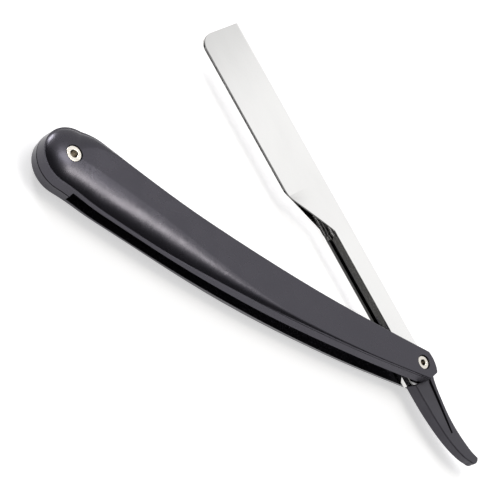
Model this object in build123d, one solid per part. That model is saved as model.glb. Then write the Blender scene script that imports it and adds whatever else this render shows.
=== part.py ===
"""Folding hair-shaping razor: two plastic scales, a folded sheet steel blade holder and a moulded tail.

Millimetres, +Z up. The origin is on the pivot axis, in the razor's middle plane, where the scales part.
The handle runs along -X. The head is modelled along +X, with its cutting side at +Y, and then turned
about the pivot to its half-open rest position.
"""
from build123d import *
from math import sqrt
import os

# ---- driving dimensions -------------------------------------------------------------------------
PIN_PITCH = 140.0          # pivot eyelet to end eyelet
THICKNESS = 12.0           # over both scales
HALF = THICKNESS / 2       # height of the upper scale's flat outer face
REST_ANGLE = 140.7         # direction of the head at rest, from +X; 180 is folded into the handle

# ---- scales -------------------------------------------------------------------------------------
END_X = 0.68 - PIN_PITCH   # centre of the round end in plan
END_R = 10.15              # radius of the round end at the parting plane
BLOCK_X = 4.9 - PIN_PITCH  # inner face of the end block, where the slot starts
BLOCK_GAP_Z = 2.3          # inner face of the upper scale next to the end block
WAIST_GAP_Z = 2.15         # where the slot is narrowest
PIVOT_GAP_Z = 2.85         # from the wide end of the tang to the pivot
CREST = HALF + 0.003       # top of the shoulders' curves, before the flat outer face is cut
PARTING = 0.2              # small bevel where the two scales meet

# Cross sections of the upper scale along the handle. Lower and upper edge of the outline at the parting
# plane, then for each edge: lean of the wall, height of the ledge, its width, width of the shoulder.
SECTIONS = [
    # x,      low,    high,  lower edge              upper edge
    (END_X, -10.15, 10.15, (0.10, 3.8, 0.40, 8.60), (0.10, 3.8, 0.40, 8.60)),
    (-137.0, -10.30, 10.40, (0.10, 3.7, 0.40, 9.00), (0.10, 4.3, 0.35, 6.00)),
    (-133.0, -10.90, 10.15, (0.14, 3.5, 0.40, 9.50), (0.10, 4.9, 0.25, 3.40)),
    (-130.0, -11.50, 9.55, (0.18, 3.4, 0.40, 9.70), (0.10, 5.2, 0.20, 2.00)),
    (-119.0, -12.55, 7.70, (0.22, 3.2, 0.40, 9.60), (0.10, 5.6, 0.10, 0.40)),
    (-100.0, -13.70, 5.46, (0.25, 3.3, 0.40, 8.20), (0.10, 5.6, 0.10, 0.35)),
    (-80.0, -14.10, 4.20, (0.27, 4.2, 0.35, 4.80), (0.10, 5.6, 0.10, 0.35)),
    (-58.0, -13.65, 3.56, (0.32, 4.7, 0.30, 1.80), (0.10, 5.6, 0.10, 0.35)),
    (-40.0, -12.45, 3.60, (0.35, 5.0, 0.20, 0.80), (0.10, 5.6, 0.10, 0.35)),
    (-20.0, -10.30, 4.32, (0.36, 5.2, 0.15, 0.50), (0.10, 5.6, 0.10, 0.35)),
    (0.0, -7.30, 5.50, (0.36, 5.3, 0.15, 0.45), (0.10, 5.6, 0.10, 0.35)),
    (9.0, -6.00, 6.20, (0.36, 5.3, 0.15, 0.45), (0.10, 5.6, 0.10, 0.35)),
]

# ---- eyelets and washers ------------------------------------------------------------------------
BARREL_R = 1.5             # outside of both eyelets' barrels
END_FLANGE_R = 2.65
END_HOLE_R = 1.18
PIVOT_FLANGE_R = 2.4
PIVOT_HOLE_R = 0.98
FLANGE_THICK = 0.55
END_SINK = 0.28            # how far the end eyelet's flange lies under the scale's face
PIVOT_SINK = 0.45          # how far the pivot eyelet's flange lies under the scale's face
RECESS_GAP = 0.15          # between a flange and the wall of its recess
WASHER_THICK = 0.3
RUN_GAP = 0.05             # running fit on the pivot barrel
THRUST_R = 3.6
THRUST_THICK = 0.6
THRUST_GAP = 0.02

# ---- blade holder -------------------------------------------------------------------------------
SHEET = 0.5
TIP = 130.3                # pivot to the square tip
CUT_Y = 12.65              # cutting side
FOLD_Y = 6.6               # outside of the spine fold
HEAD_HALF = 2.0            # half thickness at the spine of the head
EDGE_HALF = 0.75           # half thickness over both leaves at the cutting side
TANG_HALF = 2.2            # half thickness of the tang
TANG_UP_Y = 2.8            # edge of the upper leaf along the tang
TANG_LOW_Y = 6.0           # edge of the lower leaf along the tang
TANG_END = 52.0            # where the tang starts to widen and flatten
DIAGONAL_UP = 52.6         # start of the upper leaf's diagonal
DIAGONAL_LOW = 55.3        # start of the lower leaf's diagonal
DIAGONAL_MID = (64.5, 9.2)  # bend in the lower leaf's diagonal, where its flange has run out
HEAD_START = 69.6          # where the upper leaf's straight cutting side starts
HEAD_START_LOW = 71.4      # where the lower leaf's straight cutting side starts
TIP_CORNER_R = 5.0
END_UP = -5.1              # square end of the upper leaf, behind the pivot
END_LOW = -4.4             # square end of the lower leaf
LUG_Y = 6.3                # the upper leaf is this wide round the pivot
LUG_FRONT = 4.5
UP_FLANGE = 3.1            # height of the upper leaf's down-turned flange, over the sheet
LOW_FLANGE = 1.5           # height of the lower leaf's up-turned flange, over the sheet
UP_FLANGE_END = 51.6
FADE_Z = 1.13              # depth of the lower leaf's middle at the end of its flange

# ---- blade and its stop -------------------------------------------------------------------------
BLADE_THICK = 0.25
BLADE_WIDTH = 12.0
BLADE_X0 = 72.0
BLADE_X1 = 129.4
BLADE_INSET = 0.15         # the parked edge lies this far inside the leaves
BEVEL = 1.0
STOP_WIDTH = 2.6
STOP_GAP = 0.06

# ---- tail ---------------------------------------------------------------------------------------
TAIL_HALF = 2.3            # half thickness at its root
TAIL_TIP_HALF = 1.6
TAIL_LENGTH = 38.25
TONGUE_END = 13.0
TONGUE_SIDE = 3.8
ROOT_X = -5.0              # root plane of the tail at mid height
ROOT_LEAN = 0.217          # it leans back by this much per mm of height
GROOVE_END = 25.3
GROOVE_DEPTH = 0.9


def upper_edge_curve(y, out, ledge_z, width):
    """Control points of a domed shoulder that rises from the ledge at y to the crest, width inward."""
    rise = CREST - ledge_z
    inward = -out
    return [
        (y, ledge_z),
        (y + inward * 0.075 * width, ledge_z + 0.33 * rise),
        (y + inward * 0.37 * width, CREST - 0.05 * rise),
        (y + inward * width, CREST),
    ]


def scale_section(x, low, high, lower, upper):
    """Closed cross section of the upper scale, from the parting plane up."""
    low_lean, low_z, low_ledge, low_width = lower
    high_lean, high_z, high_ledge, high_width = upper
    low_top = low + low_lean * low_z
    high_top = high - high_lean * high_z
    low_curve = upper_edge_curve(low_top + low_ledge, -1, low_z, low_width)
    high_curve = upper_edge_curve(high_top - high_ledge, 1, high_z, high_width)

    def at(point):
        return Vector(x, point[0], point[1])

    edges = [
        Line(at((low + PARTING, 0)), at((low, PARTING))),
        Line(at((low, PARTING)), at((low_top, low_z))),
        Line(at((low_top, low_z)), at(low_curve[0])),
        Bezier(*[at(point) for point in low_curve]),
        Line(at(low_curve[3]), at(high_curve[3])),
        Bezier(*[at(point) for point in reversed(high_curve)]),
        Line(at(high_curve[0]), at((high_top, high_z))),
        Line(at((high_top, high_z)), at((high, PARTING))),
        Line(at((high, PARTING)), at((high - PARTING, 0))),
        Line(at((high - PARTING, 0)), at((low + PARTING, 0))),
    ]
    return make_face(Wire(edges))


def round_end():
    """Half-round end of the upper scale, turned about the centre of the end."""
    lean, ledge_z, ledge, width = SECTIONS[0][3]
    wall_top = END_R - lean * ledge_z
    curve = upper_edge_curve(wall_top - ledge, 1, ledge_z, width)

    def at(radius, z):
        return Vector(END_X, -radius, z)

    edges = [
        Line(at(0, 0), at(END_R - PARTING, 0)),
        Line(at(END_R - PARTING, 0), at(END_R, PARTING)),
        Line(at(END_R, PARTING), at(wall_top, ledge_z)),
        Line(at(wall_top, ledge_z), at(*curve[0])),
        Bezier(*[at(*point) for point in curve]),
        Line(at(*curve[3]), at(0, CREST)),
        Line(at(0, CREST), at(0, 0)),
    ]
    axis = Axis((END_X, 0, 0), (0, 0, 1))
    return revolve(make_face(Wire(edges)), axis, -180)


def nose_prism():
    """Space under the flat outer face, bounded in plan by the bowed front of the pivot end."""
    back = BLOCK_X - 30
    top_corner = (0.95, 4.85)
    tip_corner = (6.1, -0.95)
    low_corner = (3.2, -5.5)
    front = ThreePointArc(top_corner, (4.2, 2.45), tip_corner)
    rest = Polyline(tip_corner, low_corner, (-8.0, -8.2), (-8.0, -30), (back, -30), (back, 30), (-4.0, 30),
                    (-4.0, 5.4), top_corner)
    prism = extrude(make_face(Wire(front.edges() + rest.edges())), HALF)
    for (x, y), radius in ((top_corner, 3.2), (tip_corner, 0.9), (low_corner, 2.0)):
        edge = prism.edges().filter_by(Axis.Z).sort_by_distance((x, y, HALF))[0]
        prism = fillet(edge, radius)
    return prism


def slot_cutter():
    """Space between the scales: narrow along the head's place, wider from the tang to the pivot."""
    front = 12.0
    roof = Spline((BLOCK_X, BLOCK_GAP_Z), (-105.0, WAIST_GAP_Z), (-60.0, 2.35), (-24.0, PIVOT_GAP_Z),
                  tangents=[(1, -0.01), (1, 0)])
    sides = Polyline((-24.0, PIVOT_GAP_Z), (front, PIVOT_GAP_Z), (front, -1), (BLOCK_X, -1),
                     (BLOCK_X, BLOCK_GAP_Z))
    face = make_face(Plane.XZ * Wire(roof.edges() + sides.edges()))
    return extrude(face, 30, both=True)


def disc(radius, z0, z1, x=0.0):
    return Pos(x, 0, z0) * Cylinder(radius, z1 - z0, align=(Align.CENTER, Align.CENTER, Align.MIN))


def through_hole(radius, x=0.0):
    return disc(radius, -HALF - 1, HALF + 1, x)


def upper_scale():
    body = loft([scale_section(*section) for section in SECTIONS])
    body = (body + round_end()) & nose_prism()
    body = body - slot_cutter()
    for x, flange_r, sink in ((-PIN_PITCH, END_FLANGE_R, END_SINK), (0.0, PIVOT_FLANGE_R, PIVOT_SINK)):
        seat = HALF - sink - FLANGE_THICK
        body = body - through_hole(BARREL_R, x)
        body = body - disc(flange_r + RECESS_GAP, seat, HALF + 1, x)
    return body


def lower_scale():
    return mirror(upper_scale(), Plane.XY)


def eyelet(x, hole_r, flange_r, sink):
    """Tube with a formed flange on top and a smaller rolled lip below."""
    top = HALF - sink
    under = top - FLANGE_THICK
    bottom = -top
    seat = bottom + FLANGE_THICK - WASHER_THICK
    lip_r = flange_r - 0.35

    def at(radius, z):
        return Vector(radius, 0, z)

    edges = [
        Line(at(hole_r, bottom + 0.25), at(hole_r, top - 0.3)),
        ThreePointArc(at(hole_r, top - 0.3), at(hole_r + 0.1, top - 0.08), at(hole_r + 0.35, top)),
        Line(at(hole_r + 0.35, top), at(flange_r - 0.3, top)),
        ThreePointArc(at(flange_r - 0.3, top), at(flange_r - 0.08, top - 0.1), at(flange_r, top - 0.32)),
        Line(at(flange_r, top - 0.32), at(flange_r, under)),
        Line(at(flange_r, under), at(BARREL_R, under)),
        Line(at(BARREL_R, under), at(BARREL_R, seat)),
        Line(at(BARREL_R, seat), at(lip_r, seat)),
        ThreePointArc(at(lip_r, seat), at(lip_r - 0.08, bottom + 0.08), at(lip_r - 0.25, bottom)),
        Line(at(lip_r - 0.25, bottom), at(hole_r + 0.25, bottom)),
        ThreePointArc(at(hole_r + 0.25, bottom), at(hole_r + 0.08, bottom + 0.08), at(hole_r, bottom + 0.25)),
    ]
    return Pos(x, 0, 0) * revolve(make_face(Wire(edges)), Axis.Z, 360)


def set_washer(x, flange_r, sink):
    """Flat washer in the lower scale's recess, under the eyelet's rolled lip."""
    z1 = sink + FLANGE_THICK - HALF
    return disc(flange_r, z1 - WASHER_THICK, z1, x) - through_hole(BARREL_R, x)


def thrust_washer(sign):
    """Friction washer between the tang and a scale."""
    inner = sign * (TANG_HALF + THRUST_GAP)
    outer = inner + sign * THRUST_THICK
    z0, z1 = sorted((inner, outer))
    return disc(THRUST_R, z0, z1) - through_hole(BARREL_R + RUN_GAP)


def leaf_section(x, half, edge_half, fold_y):
    """Folded sheet section: a round spine fold and two leaves, closing towards the cutting side."""
    centre = half - fold_y
    wide = CUT_Y + 0.6

    def at(y, z):
        return Vector(x, y, z)

    inner = half - SHEET
    edge_in = edge_half - SHEET
    edges = [
        Line(at(wide, edge_half), at(centre, half)),
        ThreePointArc(at(centre, half), at(centre - half, 0), at(centre, -half)),
        Line(at(centre, -half), at(wide, -edge_half)),
        Line(at(wide, -edge_half), at(wide, -edge_in)),
        Line(at(wide, -edge_in), at(centre, -inner)),
        ThreePointArc(at(centre, -inner), at(centre - inner, 0), at(centre, inner)),
        Line(at(centre, inner), at(wide, edge_in)),
        Line(at(wide, edge_in), at(wide, edge_half)),
    ]
    return make_face(Wire(edges))


def folded_sheet():
    start = END_UP - 1
    tang = leaf_section(start, TANG_HALF, TANG_HALF, FOLD_Y)
    tang_end = leaf_section(TANG_END, TANG_HALF, TANG_HALF, FOLD_Y)
    head = leaf_section(HEAD_START, HEAD_HALF, EDGE_HALF, FOLD_Y)
    body = extrude(tang, TANG_END - start, dir=(1, 0, 0))
    body = body + loft([tang_end, head], ruled=True)
    return body + extrude(head, TIP - HEAD_START, dir=(1, 0, 0))


def leaf_prism(corners, rounding, z0):
    """Prism over the plan outline of one leaf, with some of its corners rounded."""
    prism = Pos(0, 0, z0) * extrude(make_face(Polyline(*corners, close=True)), HALF)
    for (x, y), radius in rounding:
        edge = prism.edges().filter_by(Axis.Z).sort_by_distance((x, y, z0))[0]
        prism = fillet(edge, radius)
    return prism


def upper_outline():
    """Square end with a wide lug round the pivot, narrow tang, diagonal, cutting side and square tip."""
    spine = -FOLD_Y - 1
    corners = [(2.0, spine), (END_UP, -3.0), (END_UP, LUG_Y), (LUG_FRONT, LUG_Y), (LUG_FRONT, TANG_UP_Y),
               (DIAGONAL_UP, TANG_UP_Y), (HEAD_START, CUT_Y), (TIP, CUT_Y), (TIP, spine)]
    rounding = [((END_UP, -3.0), 2.0), ((END_UP, LUG_Y), 1.6), ((HEAD_START, CUT_Y), 9.0),
                ((TIP, CUT_Y), TIP_CORNER_R)]
    return leaf_prism(corners, rounding, 0)


def lower_outline():
    spine = -FOLD_Y - 1
    corners = [(2.0, spine), (END_LOW, -3.0), (END_LOW, TANG_LOW_Y), (DIAGONAL_LOW, TANG_LOW_Y), DIAGONAL_MID,
               (HEAD_START_LOW, CUT_Y), (TIP, CUT_Y), (TIP, spine)]
    rounding = [((END_LOW, -3.0), 2.0), ((HEAD_START_LOW, CUT_Y), 4.0), ((TIP, CUT_Y), TIP_CORNER_R)]
    return leaf_prism(corners, rounding, -HALF)


def upper_flange():
    """Down-turned edge of the upper leaf along the tang, with a slanted end."""
    z1 = TANG_HALF - 0.2
    z0 = TANG_HALF - UP_FLANGE
    start = LUG_FRONT - 0.3
    side = Polyline((start, z0), (UP_FLANGE_END - 1.4, z0), (UP_FLANGE_END, z1), (start, z1), close=True)
    face = make_face(Plane.XZ * side)
    return Pos(0, TANG_UP_Y, 0) * extrude(face, SHEET)


def lower_flange():
    """Up-turned edge of the lower leaf: level along the tang, then running out along the diagonal."""
    fade_x, fade_y = DIAGONAL_MID
    slope = (fade_y - TANG_LOW_Y) / (fade_x - DIAGONAL_LOW)
    skew = sqrt(1 + slope ** 2)
    bend = SHEET * (skew - 1) / slope
    inner_y = TANG_LOW_Y - SHEET
    plan = Polyline((END_LOW, TANG_LOW_Y), (DIAGONAL_LOW, TANG_LOW_Y), (fade_x, fade_y),
                    (fade_x, fade_y - SHEET * skew), (DIAGONAL_LOW + bend, inner_y), (END_LOW, inner_y),
                    close=True)
    mid_leaf = SHEET / 2
    level_z = LOW_FLANGE - TANG_HALF
    side = Polyline((END_LOW, mid_leaf - TANG_HALF), (TANG_END, mid_leaf - TANG_HALF), (fade_x, -FADE_Z),
                    (fade_x, SHEET / 2 - FADE_Z), (DIAGONAL_LOW, level_z), (END_LOW, level_z), close=True)
    strip = Pos(0, 0, -HALF) * extrude(make_face(plan), HALF)
    return strip & extrude(make_face(Plane.XZ * side), 20, both=True)


def blade_holder():
    sheet = folded_sheet()
    body = (sheet & upper_outline()) + (sheet & lower_outline()) + upper_flange() + lower_flange()
    return body - through_hole(BARREL_R + RUN_GAP)


def blade_stop():
    """Strip inside the fold; the blade's back rests on its flat side."""
    y1 = CUT_Y - BLADE_INSET - BLADE_WIDTH - 0.02
    y0 = y1 - STOP_WIDTH
    slope = (HEAD_HALF - EDGE_HALF) / (CUT_Y + 0.6 + FOLD_Y - HEAD_HALF)

    def half(y):
        return HEAD_HALF - SHEET - STOP_GAP - slope * (y + FOLD_Y - HEAD_HALF)

    face = make_face(Polyline((BLADE_X0, y0, -half(y0)), (BLADE_X0, y1, -half(y1)),
                              (BLADE_X0, y1, half(y1)), (BLADE_X0, y0, half(y0)),
                              close=True))
    return extrude(face, BLADE_X1 - BLADE_X0, dir=(1, 0, 0))


def blade():
    """Flat ribbon with one ground edge and one rounded corner at the tip."""
    y1 = CUT_Y - BLADE_INSET
    y0 = y1 - BLADE_WIDTH
    half = BLADE_THICK / 2
    keen = 0.02
    face = make_face(Polyline((BLADE_X0, y0, -half), (BLADE_X0, y1 - BEVEL, -half),
                              (BLADE_X0, y1, -keen), (BLADE_X0, y1, keen),
                              (BLADE_X0, y1 - BEVEL, half), (BLADE_X0, y0, half),
                              close=True))
    body = extrude(face, BLADE_X1 - BLADE_X0, dir=(1, 0, 0))
    length = BLADE_X1 - BLADE_X0
    outline = Pos(BLADE_X0, y0, -half) * Box(length, BLADE_WIDTH, BLADE_THICK, align=Align.MIN)
    corner = outline.edges().filter_by(Axis.Z).sort_by_distance((BLADE_X1, y1, 0))[0]
    return body & fillet(corner, TIP_CORNER_R - 0.6)


def tail():
    """Moulded finger rest, curved towards the spine side, with a tongue that fills the tang's end."""
    start = ROOT_X + 1.0
    cutting = Spline((start, 5.1), (-20.0, 4.5), (-32.1, 1.9), (-36.7, -0.7), tangents=[(-1, 0), (-1, -0.9)])
    tip = ThreePointArc((-36.7, -0.7), (-TAIL_LENGTH, -3.1), (-37.0, -4.9))
    spine = Spline((-37.0, -4.9), (-30.5, -2.9), (-21.5, -2.05), (-12.9, -2.9), (start, -5.6),
                   tangents=[(1, 0.55), (1, -0.5)])
    closing = Line((start, -5.6), (start, 5.1))
    plan = make_face(Wire(cutting.edges() + tip.edges() + spine.edges() + closing.edges()))
    body = extrude(plan, HALF, both=True)
    lean = ROOT_LEAN * TAIL_HALF
    side = Polyline((-TAIL_LENGTH - 1, -TAIL_TIP_HALF), (-14, -TAIL_HALF), (ROOT_X + lean, -TAIL_HALF),
                    (ROOT_X - lean, TAIL_HALF), (-14, TAIL_HALF), (-TAIL_LENGTH - 1, TAIL_TIP_HALF), close=True)
    body = body & extrude(make_face(Plane.XZ * side), 20, both=True)
    outer_edges = body.edges().filter_by_position(Axis.X, -TAIL_LENGTH - 1, ROOT_X - 1.0)
    body = fillet(outer_edges.filter_by(Axis.Z, reverse=True), 0.4)
    body = body - tail_groove()
    tongue_half = TANG_HALF - SHEET - 0.03
    tongue = Pos(ROOT_X - 2.0, -TONGUE_SIDE, -tongue_half) * Box(
        TONGUE_END - ROOT_X + 2.0, TONGUE_SIDE + TANG_UP_Y - SHEET - 0.1, 2 * tongue_half, align=Align.MIN)
    body = body + tongue
    return body - through_hole(BARREL_R + 2 * RUN_GAP)


def tail_groove():
    """Narrow straight groove in the tail's top face, near its spine side."""
    floor = TAIL_HALF - GROOVE_DEPTH
    plan = Polyline((ROOT_X, -1.2), (-GROOVE_END, 1.2), (-GROOVE_END, 0.35), (ROOT_X, -2.7), close=True)
    return Pos(0, 0, floor) * extrude(make_face(plan), 4)


def turned(shape):
    return Rot(0, 0, REST_ANGLE) * shape


NODES = {
    "scale_top": upper_scale(),
    "scale_bottom": lower_scale(),
    "end_eyelet": eyelet(-PIN_PITCH, END_HOLE_R, END_FLANGE_R, END_SINK),
    "end_washer": set_washer(-PIN_PITCH, END_FLANGE_R, END_SINK),
    "pivot_eyelet": eyelet(0.0, PIVOT_HOLE_R, PIVOT_FLANGE_R, PIVOT_SINK),
    "pivot_washer": set_washer(0.0, PIVOT_FLANGE_R, PIVOT_SINK),
    "thrust_washer_top": thrust_washer(1),
    "thrust_washer_bottom": thrust_washer(-1),
    "blade_holder": turned(blade_holder()),
    "blade_stop": turned(blade_stop()),
    "tail": turned(tail()),
    "blade": turned(blade()),
}

os.makedirs("parts", exist_ok=True)
for name, shape in NODES.items():
    export_step(shape, f"parts/{name}.step")
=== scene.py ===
"""Looks of the folding razor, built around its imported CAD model. Metres, in the CAD's own frame."""
import math

import bpy
from mathutils import Matrix, Vector


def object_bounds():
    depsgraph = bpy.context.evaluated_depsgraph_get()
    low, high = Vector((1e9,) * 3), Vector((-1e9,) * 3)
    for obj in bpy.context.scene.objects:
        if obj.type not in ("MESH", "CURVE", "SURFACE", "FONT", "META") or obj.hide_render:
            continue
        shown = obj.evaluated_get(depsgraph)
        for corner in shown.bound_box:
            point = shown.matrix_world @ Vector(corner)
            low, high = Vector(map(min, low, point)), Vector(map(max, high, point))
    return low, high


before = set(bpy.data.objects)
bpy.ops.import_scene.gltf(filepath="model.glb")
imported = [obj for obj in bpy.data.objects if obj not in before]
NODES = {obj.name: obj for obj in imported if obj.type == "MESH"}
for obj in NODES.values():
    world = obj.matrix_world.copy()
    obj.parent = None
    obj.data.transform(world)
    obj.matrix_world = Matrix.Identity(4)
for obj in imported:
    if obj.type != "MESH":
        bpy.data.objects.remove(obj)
CAD_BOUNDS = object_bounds()

# ---- camera -------------------------------------------------------------------------------------
# Angles are in degrees: azimuth from +X, counter-clockwise in plan, and elevation above the table.
CAMERA_TARGET = Vector((-0.07135, 0.00829, 0.00004))
CAMERA_DISTANCE = 0.5062
CAMERA_AZIMUTH = 234.07
CAMERA_ELEVATION = 46.08
CAMERA_ROLL = 58.57
CAMERA_LENS = 114.3

# ---- studio -------------------------------------------------------------------------------------
FLOOR_Z = CAD_BOUNDS[0][2]
FLOOR_REACH = 3.0
FLOOR_COLOUR = (0.80, 0.795, 0.81, 1)
FLOOR_GLOW = 0.56
WALL_EDGE = (-0.10, 0.35)         # cosine to the far side: the room turns into the wall between these
NEAR_LEVEL = 0.08                 # brightness of the room, against 1 for the wall
FADE_AZIMUTHS = (61.0, 67.5)      # the wall loses brightness between these
WALL_FULL = 0.97                  # before the fade, where most of the steel mirrors it
WALL_FADED = 0.72                 # past the fade, where the head's tip mirrors it
ROUND_END = (-0.150, -0.002, 0.006)
SOFTBOXES = (                     # name, faced point, azimuth, elevation, distance, width, height, radiance, colour
    ("lamp", ROUND_END, 24, 67, 0.40, 0.08, 0.12, 7.2, (1.0, 0.98, 0.88)),
    ("fill", CAMERA_TARGET, 84, 66, 1.2, 0.40, 0.30, 4.0, (1, 1, 1)),
    ("side_window", CAMERA_TARGET, 128, 25, 1.8, 0.60, 0.42, 12.0, (1, 1, 1)),
)

# ---- blade holder, for the mask of its cut edges ------------------------------------------------
HEAD_ANGLE = math.radians(140.7)  # direction of the head at rest, from +X
FLANGE_FACE = (0.00295, 0.0031)   # across the head: the tang's flange ends, the plate's edge begins
LUG_END = (0.0041, 0.0044)        # along the head: the lug beside the pivot ends
# cut edges: their base colour is darkened to this share, a painted dark reflection of the shade they face; the
# roughness below is their real sheared finish
EDGE_PAINTED_REFLECTION_TONE = 0.22
EDGE_ROUGHNESS = 0.5


def direction(azimuth, elevation):
    azimuth, elevation = math.radians(azimuth), math.radians(elevation)
    return Vector((math.cos(elevation) * math.cos(azimuth), math.cos(elevation) * math.sin(azimuth),
                   math.sin(elevation)))


def add_object(name, data):
    obj = bpy.data.objects.new(name, data)
    bpy.context.scene.collection.objects.link(obj)
    return obj


def add_camera():
    roll = math.radians(CAMERA_ROLL)
    back = direction(CAMERA_AZIMUTH, CAMERA_ELEVATION)
    right = (-back).cross(Vector((0, 0, 1))).normalized()
    up = right.cross(-back)
    turned_right = math.cos(roll) * right + math.sin(roll) * up
    turned_up = math.cos(roll) * up - math.sin(roll) * right
    camera = add_object("camera", bpy.data.cameras.new("camera"))
    camera.data.lens = CAMERA_LENS
    camera.data.clip_start = 0.01
    axes = Matrix((turned_right, turned_up, back)).transposed()
    camera.matrix_world = Matrix.Translation(CAMERA_TARGET + CAMERA_DISTANCE * back) @ axes.to_4x4()
    bpy.context.scene.camera = camera


def add_softbox(name, point, azimuth, elevation, distance, width, height, radiance, colour):
    """Rectangular area light that faces a point; radiance is what a mirror would show."""
    light = bpy.data.lights.new(name, "AREA")
    light.shape = "RECTANGLE"
    light.size = width
    light.size_y = height
    light.energy = 4 * radiance * width * height
    light.color = colour
    obj = add_object(name, light)
    away = direction(azimuth, elevation)
    obj.location = Vector(point) + distance * away
    obj.rotation_euler = (-away).to_track_quat("-Z", "Y").to_euler()


class Graph:
    """Short form for building shader nodes."""

    def __init__(self, tree):
        self.tree = tree

    def add(self, kind, inputs=(), **settings):
        node = self.tree.nodes.new(kind)
        for key, value in settings.items():
            setattr(node, key, value)
        for key, value in dict(inputs).items():
            if isinstance(value, bpy.types.NodeSocket):
                self.tree.links.new(value, node.inputs[key])
            else:
                node.inputs[key].default_value = value
        return node

    def math(self, operation, a, b=0.0):
        return self.add("ShaderNodeMath", {0: a, 1: b}, operation=operation).outputs[0]

    def ramp(self, value, low, high, to_low=0.0, to_high=1.0):
        return self.add("ShaderNodeMapRange", {"Value": value, "From Min": low, "From Max": high,
                                               "To Min": to_low, "To Max": to_high},
                        interpolation_type="SMOOTHSTEP").outputs[0]

    def parts(self, vector):
        return self.add("ShaderNodeSeparateXYZ", {0: vector}).outputs

    def coordinates(self, kind):
        return self.add("ShaderNodeTexCoord").outputs[kind]


def add_world():
    """Studio: a bright wall on the far side that fades towards one end, and a dark room on the near side."""
    world = bpy.data.worlds.new("studio")
    world.use_nodes = True
    graph = Graph(world.node_tree)
    place = graph.coordinates("Generated")
    far = tuple(direction(CAMERA_AZIMUTH - 180, 0))
    along = graph.add("ShaderNodeVectorMath", {0: place, 1: far}, operation="DOT_PRODUCT").outputs["Value"]
    side = graph.ramp(along, *WALL_EDGE, NEAR_LEVEL, 1.0)
    plan = graph.parts(place)
    azimuth = graph.math("ARCTAN2", plan["Y"], plan["X"])
    fade = graph.ramp(azimuth, *map(math.radians, FADE_AZIMUTHS), WALL_FULL, WALL_FADED)
    background = world.node_tree.nodes["Background"]
    background.inputs["Color"].default_value = (1, 1, 1, 1)
    world.node_tree.links.new(graph.math("MULTIPLY", side, fade), background.inputs["Strength"])
    bpy.context.scene.world = world


def add_floor():
    corners = [(x * FLOOR_REACH, y * FLOOR_REACH, FLOOR_Z) for x, y in ((-1, -1), (1, -1), (1, 1), (-1, 1))]
    mesh = bpy.data.meshes.new("floor")
    mesh.from_pydata(corners, [], [(0, 1, 2, 3)])
    floor = add_object("floor", mesh)
    material, shader, _ = new_material("floor_white")
    shader.inputs["Base Color"].default_value = FLOOR_COLOUR
    shader.inputs["Roughness"].default_value = 0.9
    shader.inputs["Specular IOR Level"].default_value = 0.1
    shader.inputs["Emission Color"].default_value = (1, 1, 1, 1)
    shader.inputs["Emission Strength"].default_value = FLOOR_GLOW
    floor.data.materials.append(material)


# ---- materials ----------------------------------------------------------------------------------
def new_material(name):
    material = bpy.data.materials.new(name)
    material.use_nodes = True
    return material, material.node_tree.nodes["Principled BSDF"], Graph(material.node_tree)


def turned_place(graph, angle, stretch=(1.0, 1.0, 1.0)):
    """Object coordinates turned so that X runs along a part, and stretched."""
    turned = graph.add("ShaderNodeVectorRotate", {"Vector": graph.coordinates("Object"), "Angle": -angle},
                       rotation_type="Z_AXIS")
    return graph.add("ShaderNodeVectorMath", {0: turned.outputs[0], 1: stretch}, operation="MULTIPLY").outputs[0]


def noise(graph, vector, scale, detail=2.0, roughness=0.5):
    return graph.add("ShaderNodeTexNoise", {"Vector": vector, "Scale": scale, "Detail": detail,
                                            "Roughness": roughness}).outputs["Fac"]


def bump(graph, shader, height, distance):
    node = graph.add("ShaderNodeBump", {"Height": height, "Distance": distance, "Strength": 1.0})
    graph.tree.links.new(node.outputs[0], shader.inputs["Normal"])


def colour_between(graph, shader, factor, dark, light):
    mix = graph.add("ShaderNodeMix", {0: factor, 6: (*dark, 1), 7: (*light, 1)}, data_type="RGBA")
    graph.tree.links.new(mix.outputs[2], shader.inputs["Base Color"])


def plastic(name, dark, light, rough_low, rough_high, gloss, grain_scale, grain_depth):
    """Moulded plastic: fine grain, slow changes of gloss and slightly paler worn patches."""
    material, shader, graph = new_material(name)
    place = graph.coordinates("Object")
    patches = graph.ramp(noise(graph, place, 55, 3), 0.35, 0.7)
    colour_between(graph, shader, patches, dark, light)
    rough = graph.ramp(noise(graph, place, 140, 4), 0.3, 0.7, rough_low, rough_high)
    graph.tree.links.new(rough, shader.inputs["Roughness"])
    shader.inputs["Specular IOR Level"].default_value = gloss
    shader.inputs["Specular Tint"].default_value = (0.88, 0.84, 1.0, 1)
    bump(graph, shader, noise(graph, place, grain_scale), grain_depth)
    return material


def rough_edge_and_painted_reflection(graph):
    """1 on the upper leaf's cut edges: upright faces above mid height, except the tang's flange and fold; it gives
    them a rougher sheared finish and a painted dark reflection.
    """
    facing = graph.parts(graph.add("ShaderNodeNewGeometry").outputs["Normal"])
    upright = graph.ramp(graph.math("ABSOLUTE", facing["Z"]), 0.3, 0.4, 1.0, 0.0)
    spot = graph.parts(turned_place(graph, HEAD_ANGLE))
    above = graph.ramp(spot["Z"], 0.0, 0.0002)
    beyond = graph.ramp(spot["Y"], *FLANGE_FACE)
    lug = graph.ramp(spot["X"], *LUG_END, 1.0, 0.0)
    free = graph.ramp(spot["Y"], -0.001, 0.001)
    place = graph.math("MAXIMUM", beyond, graph.math("MULTIPLY", lug, free))
    return graph.math("MULTIPLY", graph.math("MULTIPLY", upright, above), place)


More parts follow.
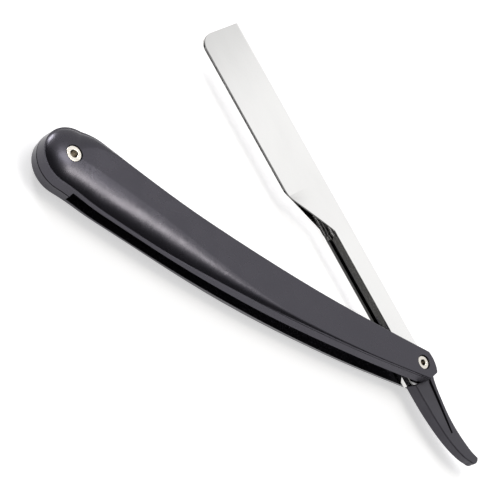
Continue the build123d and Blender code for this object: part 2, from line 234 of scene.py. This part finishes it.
def polished_steel(name, colour, rough_low, rough_high, angle, line_depth, edges=False):
    """Polished sheet with faint lines along the part and slow changes of gloss; with edges, the cut edges get more
    roughness and a painted dark reflection in their colour.
    """
    material, shader, graph = new_material(name)
    shader.inputs["Metallic"].default_value = 1.0
    lines = noise(graph, turned_place(graph, angle, (0.03, 1.0, 1.0)), 4200, 3, 0.6)
    clouds = noise(graph, turned_place(graph, angle, (0.4, 1.0, 1.0)), 90, 3)
    tone = graph.ramp(clouds, 0.3, 0.7, 0.965, 1.0)
    mixed = graph.math("ADD", graph.math("MULTIPLY", lines, 0.5), graph.math("MULTIPLY", clouds, 0.5))
    rough = graph.ramp(mixed, 0.35, 0.65, rough_low, rough_high)
    if edges:
        mask = rough_edge_and_painted_reflection(graph)
        # painted reflection: the cut edges' colour is darkened to show the dark shade they mirror
        tone = graph.math("MULTIPLY", tone, graph.ramp(mask, 0.0, 1.0, 1.0, EDGE_PAINTED_REFLECTION_TONE))
        rough = graph.math("MAXIMUM", rough, graph.ramp(mask, 0.0, 1.0, 0.0, EDGE_ROUGHNESS))
    colour_between(graph, shader, tone, (0, 0, 0), colour)
    graph.tree.links.new(rough, shader.inputs["Roughness"])
    bump(graph, shader, lines, line_depth)
    return material


def dress(material, *names):
    for name in names:
        mesh = NODES[name].data
        mesh.materials.clear()
        mesh.materials.append(material)


dress(plastic("scale_plastic", (0.0085, 0.0080, 0.0105), (0.0110, 0.0104, 0.0132), 0.24, 0.29, 0.84, 2600, 3e-6),
      "scale_top", "scale_bottom")
dress(plastic("tail_plastic", (0.030, 0.029, 0.034), (0.036, 0.035, 0.040), 0.42, 0.52, 0.60, 3200, 9e-6),
      "tail")
dress(plastic("washer_nylon", (0.55, 0.53, 0.48), (0.62, 0.60, 0.55), 0.40, 0.50, 0.5, 3000, 4e-6),
      "thrust_washer_top", "thrust_washer_bottom")
dress(polished_steel("holder_steel", (0.94, 0.935, 0.925), 0.05, 0.09, HEAD_ANGLE, 3e-7, edges=True),
      "blade_holder", "blade_stop")
dress(polished_steel("blade_steel", (0.86, 0.86, 0.85), 0.16, 0.24, HEAD_ANGLE + math.pi / 2, 6e-7),
      "blade")
dress(polished_steel("eyelet_nickel", (0.80, 0.76, 0.69), 0.20, 0.30, 0.0, 6e-7),
      "end_eyelet", "end_washer", "pivot_eyelet", "pivot_washer")

add_camera()
add_floor()
add_world()
for softbox in SOFTBOXES:
    add_softbox(*softbox)
bpy.context.scene.view_settings.view_transform = "Standard"
